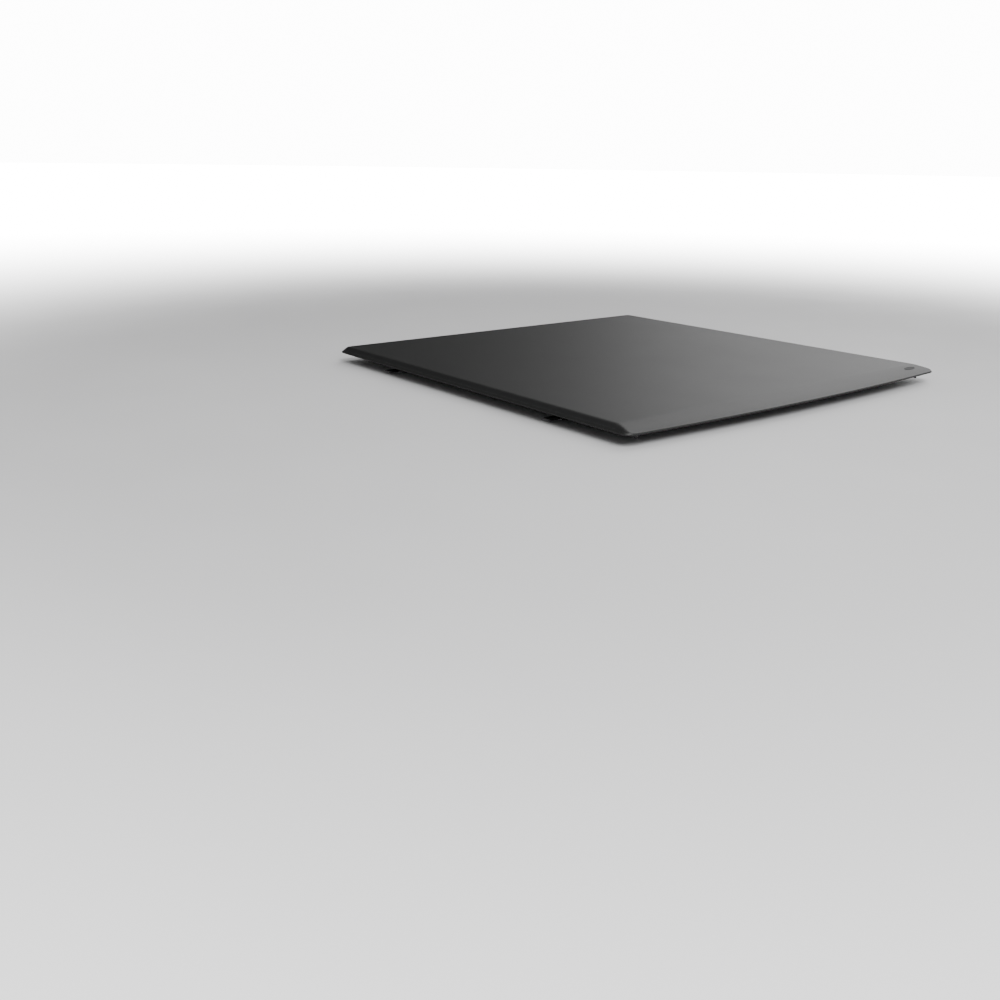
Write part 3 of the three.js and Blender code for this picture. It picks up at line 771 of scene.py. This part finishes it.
def bow_pocket(number):
    """The sleeve of backing cloth, sewn under the vinyl, that holds one crossbow."""
    low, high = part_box(f"crossbow_{number}")
    middle, half = (low.y + high.y) / 2, (high.y - low.y) / 2 + POCKET_SLACK
    bottom, top = low.z - POCKET_SLACK, TOP_Z - THICK - POCKET_THICK / 2 - 0.02 * MM
    outline = [(-half - POCKET_FLANGE, top), (-half - 0.8 * MM, top), (-half, top - 0.8 * MM)]
    outline += [(-half, bottom + POCKET_CORNER), (-half + POCKET_CORNER, bottom)]
    path = rounded_path(outline + [(-y, z) for y, z in reversed(outline)], 1.2 * MM)
    length = CROSSBOW_HALF - BARE_BOW_END
    columns = [length * (2 * i / POCKET_COLUMNS - 1) for i in range(POCKET_COLUMNS + 1)]
    upper, lower = offset_path(path, POCKET_THICK / 2)
    parts = []
    for x in columns:
        edge = min(1.0, (length - abs(x)) / (8 * MM))
        sag = POCKET_SAG * math.sin(x / (37 * MM)) * edge
        section = list(upper) + list(reversed(lower))
        parts.append([np.array((x, middle + y, z + sag * (z < top))) for y, z in section])
    vertices, faces, _ = skin_rings(parts)
    run = path_run(path)
    uv = [(r, x) for x in columns for r in run + run[::-1]]
    piece = make_piece(f"bow_pocket_{number}", vertices, faces, ["vinyl_back"], uv=uv)
    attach(piece, body_of(f"crossbow_{number}"))


for number in range(1, 5):
    bow_pocket(number)


# --- storage straps -------------------------------------------------------------------------------
STRAP_LAYER = 1.5 * MM
STRAP_GAP = 0.05 * MM  # between the strap and what it touches
FOLD_RADIUS = 1.3 * MM
FOLD_DEPTH = 4 * FOLD_RADIUS + STRAP_LAYER / 2  # from the top layer's middle to the bottom face


def folded_path(y_start, y_ends, z_top):
    """Points (y, z) of a band that starts at the header and folds back and forth under itself."""
    points, z, direction, y = [(y_start, z_top)], z_top, -1, y_start
    for index, end in enumerate(y_ends):
        count = max(2, int(abs(end - y) / (2 * MM)))
        points += [(y + (end - y) * i / count, z) for i in range(1, count + 1)]
        y = end
        if index < len(y_ends) - 1:
            middle = z - FOLD_RADIUS
            for i in range(1, 7):
                angle = math.pi / 2 - math.pi * i / 6
                out, up = FOLD_RADIUS * math.cos(angle), FOLD_RADIUS * math.sin(angle)
                points.append((y + direction * out, middle + up))
            z -= 2 * FOLD_RADIUS
            direction = -direction
    return points


def band(name, points, x_middle, half, thick, look):
    """A band across X that follows (y, z) points."""
    path = np.array(points)
    along = np.gradient(path, axis=0)
    along /= np.linalg.norm(along, axis=1, keepdims=True)
    rows = [((x_middle, y, z), (1, 0, 0), (0, -b, a)) for (y, z), (a, b) in zip(path, along)]
    vertices, faces, uv = skin_rings(ribbon(rows, half, thick))
    return make_piece(name, vertices, faces, [look], uv=uv)


def keeper_loop(name, middle, half, y, z_top):
    """An elastic loop round the folded strap."""
    high, low = z_top + STRAP_LAYER / 2 + STRAP_GAP, z_top - FOLD_DEPTH - 0.5 * MM
    wide, radius = half - 0.2 * MM, 1.2 * MM
    half_thick, half_tall = 0.35 * MM, 6 * MM
    section = ((-1, -1), (1, -1), (1, 1), (-1, 1))
    rings = []
    for i, (x, z) in enumerate(((wide, low), (wide, high), (-wide, high), (-wide, low))):
        centre_x, centre_z = x - math.copysign(radius, x), z + radius * (1 if z == low else -1)
        for step in range(5):
            angle = math.radians(-90 + 90 * i + 22.5 * step)
            outward = np.array((math.cos(angle), 0, math.sin(angle)))
            point = np.array((middle + centre_x, y, centre_z)) + outward * radius
            rings.append([
                point + outward * a * half_thick + np.array((0, b * half_tall, 0)) for a, b in section
            ])
    vertices, faces, uv = skin_rings(rings, closed=True)
    return make_piece(name, vertices, faces, ["webbing"], uv=uv)


def slide_buckle(name, middle, half, y, z_top):
    """A moulded ladder buckle: two side bars and three rungs that the strap weaves through."""
    z = z_top - FOLD_DEPTH - 0.8 * MM
    parts = []
    for x in (middle - half + 1.8 * MM, middle + half - 1.8 * MM):
        ends = (x, y - 9 * MM, z), (x, y + 9 * MM, z)
        parts.append(rounded_bar(*ends, 1.7 * MM, 0.75 * MM))
    for rung in (y - 7.6 * MM, y, y + 7.6 * MM):
        ends = (middle - half + 2 * MM, rung, z), (middle + half - 2 * MM, rung, z)
        parts.append(rounded_bar(*ends, 1.4 * MM, 0.7 * MM))
    vertices, faces, uv = joined(parts)
    return make_piece(name, vertices, faces, ["plastic"], uv=uv)


def rounded_bar(start, end, half, half_height):
    """A bar with an oval section and domed ends."""
    sides = 10
    start, end = np.array(start, float), np.array(end, float)
    along = (end - start) / np.linalg.norm(end - start)
    across = np.cross((0, 0, 1), along)
    rings = []
    for t, swell in ((0, 0.35), (0.02, 0.75), (0.06, 1), (0.94, 1), (0.98, 0.75), (1, 0.35)):
        middle = start + (end - start) * t
        wide, tall = across * half * swell, np.array((0, 0, half_height * swell))
        rings.append([
            middle + wide * math.cos(a) + tall * math.sin(a)
            for a in (2 * math.pi * i / sides for i in range(sides))
        ])
    return skin_rings(rings)


def storage_strap(side):
    """A webbing strap folded in three under the front section, with a keeper and its buckle."""
    low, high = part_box(f"storage_strap_{side}")
    middle, half = (low.x + high.x) / 2, (high.x - low.x) / 2
    z_top = high.z - STRAP_LAYER / 2 - STRAP_GAP
    folds = (low.y + 3 * MM, high.y - 6 * MM, low.y + 10 * MM)
    points = folded_path(high.y - 1 * MM, folds, z_top)
    strap = band(f"folded_strap_{side}", points, middle, half, STRAP_LAYER, "webbing")
    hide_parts(f"storage_strap_{side}")
    keeper = keeper_loop(f"strap_keeper_{side}", middle, half, high.y - 30 * MM, z_top)
    buckle = slide_buckle(f"strap_buckle_{side}", middle, half, low.y + 16 * MM, z_top)
    for piece in (strap, keeper, buckle):
        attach(piece, "bed_frame")


for side, _ in SIDES:
    storage_strap(side)


# --- screws and knobs -----------------------------------------------------------------------------
CLAMP_THREAD = (4 * MM, 3.35 * MM, 1.25 * MM)  # crest and root radius, and pitch
KNOB_THREAD = (3 * MM, 2.45 * MM, 1 * MM)
CLAMP_SHOULDER_Z = -25.8 * MM
KNOB_Z = 10 * MM
KNOB_THICK = 16 * MM


def axis_frame(axis):
    """An axis that isn't along X, and two directions square to it."""
    axis = np.array(axis, float)
    side = np.cross(axis, (1, 0, 0))
    return axis, side, np.cross(side, axis)


def thread_rings(axis_point, axis, crest, root, pitch, length):
    """Rings of a threaded rod from its free tip: the radius rises and falls along a helix."""
    axis, side, up = axis_frame(axis)
    sides, per_turn = 24, 8
    rings = []
    count = int(length / pitch * per_turn)
    for i in range(count + 1):
        run = length * i / count
        taper = smooth_step(run / (1.2 * pitch))
        ring = []
        for k in range(sides):
            angle = 2 * math.pi * k / sides
            phase = (run / pitch - k / sides) % 1
            height = 1 - abs(2 * phase - 1)
            radius = root + (crest - root) * float(np.clip(1.35 * height - 0.1, 0, 1) * taper)
            spoke = side * math.cos(angle) + up * math.sin(angle)
            ring.append(np.array(axis_point) + axis * run + spoke * radius)
        rings.append(ring)
    return rings


def turned(axis_point, axis, profile, outline, sides):
    """A solid about an axis: profile holds (distance along, scale), outline a radius by angle."""
    axis, side, up = axis_frame(axis)
    angles = [2 * math.pi * k / sides for k in range(sides)]
    spokes = [(side * math.cos(a) + up * math.sin(a)) * outline(a) for a in angles]
    rings = []
    for run, scale in profile:
        rings.append([np.array(axis_point) + axis * run + spoke * scale for spoke in spokes])
    return skin_rings(rings)


def circle(radius):
    return lambda angle: radius


def hexagon(angle):
    """Radius of the clamp screw's hexagon head."""
    return 6.5 * MM / math.cos((angle + math.pi / 6) % (math.pi / 3) - math.pi / 6)


def lobes(angle):
    """Radius of the tension knob's six lobes."""
    return (7.9 + 1.0 * math.cos(6 * angle)) * MM


def in_mm(profile):
    """A profile whose distances are given in millimetres."""
    return [(run * MM, scale) for run, scale in profile]


def clamp_screw(number):
    """A flanged hex screw whose thread runs up through the clamp's nut."""
    low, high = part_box(f"clamp_{number}_screw")
    x, y = (low.x + high.x) / 2, (low.y + high.y) / 2
    down, shoulder = (0, 0, -1), CLAMP_SHOULDER_Z
    rod = thread_rings((x, y, high.z), down, *CLAMP_THREAD, high.z - shoulder + 0.5 * MM)
    flange = [(0, 0.55), (0, 0.93), (0.25, 1), (1.1, 1), (1.5, 0.93), (1.9, 0.8)]
    head = [(0, 0.9), (0.4, 0.98), (4.6, 0.98), (5.2, 0.9), (5.4, 0.8), (5.4, 0.4)]
    vertices, faces, uv = joined([
        skin_rings(rod),
        turned((x, y, shoulder), down, in_mm(flange), circle(8.5 * MM), 40),
        turned((x, y, shoulder - 1.3 * MM), down, in_mm(head), hexagon, 48),
    ])
    piece = make_piece(f"clamp_{number}_threaded_screw", vertices, faces, ["zinc"], uv=uv, sharp_above=30)
    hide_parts(f"clamp_{number}_screw")
    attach(piece, f"clamp_screw_{number}")


def tension_knob(side):
    """A six-lobed knob with a domed face, moulded round the head of a screw."""
    node = f"tension_knob_{side}"
    low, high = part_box(node)
    x, back = (low.x + high.x) / 2, low.y + KNOB_THICK
    dome = [(0, 0.3), (0.2, 0.45), (0.9, 0.72), (1.2, 0.86), (2.4, 0.96), (4, 1)]
    foot = [(-4, 1), (-2, 0.95), (-0.6, 0.78), (0, 0.7), (0, 0.35)]
    profile = in_mm(dome) + [(KNOB_THICK + run, scale) for run, scale in in_mm(foot)]
    vertices, faces, uv = turned((x, low.y, KNOB_Z), (0, 1, 0), profile, lobes, 72)
    piece = make_piece(f"{node}_grip", vertices, faces, ["plastic"], uv=uv, sharp_above=50)
    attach(piece, f"knob_{side}")
    cup = in_mm([(-0.25, 0.2), (-0.25, 0.9), (0.1, 1), (1, 1), (1, 0.3)])
    insert = turned((x, low.y, KNOB_Z), (0, 1, 0), cup, circle(3 * MM), 24)
    rod = thread_rings((x, high.y, KNOB_Z), (0, -1, 0), *KNOB_THREAD, high.y - back + 1 * MM)
    vertices, faces, uv = joined([skin_rings(rod), insert])
    screw = make_piece(f"{node}_screw", vertices, faces, ["zinc"], uv=uv, sharp_above=30)
    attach(screw, f"knob_{side}")
    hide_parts(node)


for number in range(1, 5):
    clamp_screw(number)
for side, _ in SIDES:
    tension_knob(side)


# --- the plain oval patch -------------------------------------------------------------------------
def bow_shift(x, y):
    """How far to move a plan point back so that it lands on y once the rear edge is bowed."""
    shift = 0.0
    for _ in range(8):
        shift += y - float(bowed(np.array(y + shift), np.array(x)))
    return shift


def oval_patch():
    """A thin moulded oval that follows the vinyl, with a raised border and a plain middle."""
    low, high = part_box("plain_oval_patch")
    x0, y0 = (low.x + high.x) / 2, (low.y + high.y) / 2
    half_long, half_wide = (high.x - low.x) / 2, (high.y - low.y) / 2
    # share of the oval's size, and height above the vinyl in millimetres
    profile = [(1, -0.1), (1, 0.35), (0.985, 0.6), (0.955, 0.72), (0.92, 0.7), (0.89, 0.5)]
    profile += [(0.87, 0.38), (0.7, 0.36), (0.45, 0.36), (0.2, 0.36)]
    sides = 96
    angles = [2 * math.pi * k / sides for k in range(sides)]
    shift = bow_shift(x0, y0)
    rings = []
    for scale, height in profile:
        x = np.array([x0 + half_long * scale * math.cos(a) for a in angles])
        y = np.array([y0 + shift + half_wide * scale * math.sin(a) for a in angles])
        points = surface(x, y) + surface_normal(x, y) * height * MM
        rings.append(list(points))
    vertices, faces, uv = skin_rings(rings)
    piece = make_piece("oval_patch", vertices, faces, ["patch"], uv=uv, sharp_above=60)
    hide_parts("plain_oval_patch")
    across_hinge(piece)


oval_patch()


# --- the CAD's own nodes --------------------------------------------------------------------------
def dress(node, look, bevel):
    """Gives a CAD node its material, and rounds its edges with modifiers that leave the mesh."""
    piece = frame["nodes"][node]
    if not piece.data.materials:
        piece.data.materials.append(LOOKS[look])
    for one in piece.material_slots:
        one.material = LOOKS[look]
    weld = piece.modifiers.new("weld", "WELD")
    weld.merge_threshold = 0.005 * MM
    rounding = piece.modifiers.new("rounding", "BEVEL")
    rounding.width = bevel
    rounding.segments = 2
    rounding.limit_method = "ANGLE"
    rounding.angle_limit = math.radians(35)
    rounding.harden_normals = True


LOOK_AND_BEVEL = {
    "side_rail": ("powder", 0.35 * MM),
    "front_header": ("powder", 0.35 * MM),
    "front_corner": ("powder", 0.6 * MM),
    "rear_header": ("powder", 0.3 * MM),
    "rear_corner": ("plastic", 0.5 * MM),
    "rail_seal": ("rubber", 0.5 * MM),
    "bulkhead_seal": ("rubber", 0.5 * MM),
    "tailgate_seal": ("rubber", 0.5 * MM),
    "latch_housing": ("plastic", 0.6 * MM),
    "latch_bolt": ("zinc", 0.3 * MM),
    "latch_lever": ("steel", 0.4 * MM),
    "striker": ("steel", 0.3 * MM),
    "clamp": ("steel", 0.35 * MM),
}
CROSSBOW_BEVEL = 0.3 * MM
REPLACED = ("vinyl_section", "tension_knob", "storage_strap", "plain_oval_patch")
for node in sorted(frame["nodes"]):
    if node.startswith(REPLACED) or node.endswith("_screw"):
        continue
    if node.startswith("crossbow"):
        dress(node, "plastic" if "cap" in node else "aluminium", CROSSBOW_BEVEL)
        continue
    look, bevel = next(v for k, v in LOOK_AND_BEVEL.items() if node.startswith(k))
    dress(node, look, bevel)


# --- floor, light and camera ----------------------------------------------------------------------
FLOOR_Z = cad_bounds[0].z - 0.5 * MM
FLOOR_RADIUS = 60
# The floor's painted glow begins at the first distance and is full at the second.
GLOW_FROM, GLOW_TO = 1.6, 9.0  # distances from the middle of the cover
WHITE = 17.0  # strength of the backdrop as the camera sees it
# What the surfaces reflect all round: (azimuth from +Y towards +X in degrees, strength).
SURROUND = (
    (-180, 0.4), (-60, 0.5), (5, 0.015), (36, 0.01), (43, 0.15),
    (50, 1.9), (63, 3.1), (84, 3.1), (108, 0.5), (180, 0.4),
)
LIGHT_AT = (-2.2, -4.2, 4.0)
LIGHT_SIZE = (4.0, 3.0)
LIGHT_WATTS = 330
CAMERA_AT = (-2.579, -2.490, 0.677)
CAMERA_AZIMUTH, CAMERA_ELEVATION, CAMERA_ROLL = 38.82, 18.45, -0.84  # degrees
CAMERA_LENS, CAMERA_SENSOR = 37.15, 36  # millimetres


def pale_floor():
    """A pale floor under the cover with a painted glow: it emits for the camera only, none near the cover and more
    the farther away, so it fades to the white of the backdrop far away from it.
    """
    s = Shader("floor_paint_and_painted_glow")
    s.colours(s.noise(1.5, 3), (0.76, 0.76, 0.765), (0.79, 0.79, 0.795))
    s.rough(s.noise(0.3, 4), 0.6, 0.75)
    # Painted glow: emission that only the camera sees, none within GLOW_FROM of the cover and full backdrop white
    # by GLOW_TO, so the floor looks darker near the cover.
    away = s.node("ShaderNodeVectorMath", operation="DISTANCE")
    s.link(s.coords.outputs["Object"], away.inputs[0])
    away.inputs[1].default_value = (0, 0, 0)
    glow = s.node("ShaderNodeMapRange", interpolation_type="SMOOTHERSTEP")
    s.link(away.outputs["Value"], glow.inputs["Value"])
    glow.inputs["From Min"].default_value = GLOW_FROM
    glow.inputs["From Max"].default_value = GLOW_TO
    glow.inputs["To Min"].default_value = 0.0
    glow.inputs["To Max"].default_value = WHITE
    seen = s.node("ShaderNodeLightPath")
    strength = s.combine("MULTIPLY", glow.outputs["Result"], seen.outputs["Is Camera Ray"])
    s.link(strength, s.bsdf.inputs["Emission Strength"])
    s.fixed(Emission_Color=(1, 1, 1, 1))
    bpy.ops.mesh.primitive_circle_add(
        vertices=96, radius=FLOOR_RADIUS, fill_type="NGON", location=(0, 0, FLOOR_Z)
    )
    floor = bpy.context.object
    floor.name = "studio_floor"
    floor.data.materials.append(s.material)


def soft_light():
    """One large lamp behind the camera, aimed at the middle of the cover."""
    lamp = bpy.data.lights.new("behind_camera", "AREA")
    lamp.shape = "RECTANGLE"
    lamp.size, lamp.size_y = LIGHT_SIZE
    lamp.energy = LIGHT_WATTS
    made = bpy.data.objects.new("behind_camera", lamp)
    made.location = LIGHT_AT
    made.rotation_mode = "QUATERNION"
    made.rotation_quaternion = (-Vector(LIGHT_AT)).to_track_quat("-Z", "Y")
    bpy.context.scene.collection.objects.link(made)


def studio_world():
    """White to the eye; what surfaces reflect is dark over the cab and bright to the right."""
    world = bpy.data.worlds.new("studio")
    bpy.context.scene.world = world
    world.use_nodes = True
    tree = world.node_tree
    tree.nodes.clear()
    new, link = tree.nodes.new, tree.links.new
    coords, split = new("ShaderNodeTexCoord"), new("ShaderNodeSeparateXYZ")
    turn = new("ShaderNodeMath")
    turn.operation = "ARCTAN2"
    share = new("ShaderNodeMapRange")
    share.inputs["From Min"].default_value = -math.pi
    share.inputs["From Max"].default_value = math.pi
    ramp = new("ShaderNodeValToRGB")
    ramp.color_ramp.interpolation = "EASE"
    elements = ramp.color_ramp.elements
    while len(elements) < len(SURROUND):
        elements.new(0.5)
    for element, (azimuth, strength) in zip(elements, SURROUND):
        element.position = (azimuth + 180) / 360
        element.color = (strength, strength, strength, 1)
    seen, mix = new("ShaderNodeLightPath"), new("ShaderNodeMix")
    mix.data_type = "FLOAT"
    mix.inputs["B"].default_value = WHITE
    background, output = new("ShaderNodeBackground"), new("ShaderNodeOutputWorld")
    link(coords.outputs["Generated"], split.inputs[0])
    link(split.outputs["X"], turn.inputs[0])
    link(split.outputs["Y"], turn.inputs[1])
    link(turn.outputs[0], share.inputs["Value"])
    link(share.outputs["Result"], ramp.inputs["Fac"])
    link(seen.outputs["Is Camera Ray"], mix.inputs["Factor"])
    link(ramp.outputs["Color"], mix.inputs["A"])
    link(mix.outputs["Result"], background.inputs["Strength"])
    link(background.outputs["Background"], output.inputs["Surface"])


def place_camera():
    """Looks at the cover from behind its left rear corner, a little above it."""
    azimuth, elevation = math.radians(CAMERA_AZIMUTH), math.radians(CAMERA_ELEVATION)
    forward = Vector((
        math.sin(azimuth) * math.cos(elevation),
        math.cos(azimuth) * math.cos(elevation),
        -math.sin(elevation),
    ))
    level = forward.cross(Vector((0, 0, 1))).normalized()
    right = Matrix.Rotation(math.radians(CAMERA_ROLL), 3, forward) @ level
    up = right.cross(forward)
    data = bpy.data.cameras.new("camera")
    data.sensor_width = CAMERA_SENSOR
    data.lens = CAMERA_LENS
    camera = bpy.data.objects.new("camera", data)
    axes = Matrix((right, up, -forward)).transposed()
    camera.matrix_world = Matrix.Translation(CAMERA_AT) @ axes.to_4x4()
    bpy.context.scene.collection.objects.link(camera)
    bpy.context.scene.camera = camera


pale_floor()
studio_world()
soft_light()
place_camera()
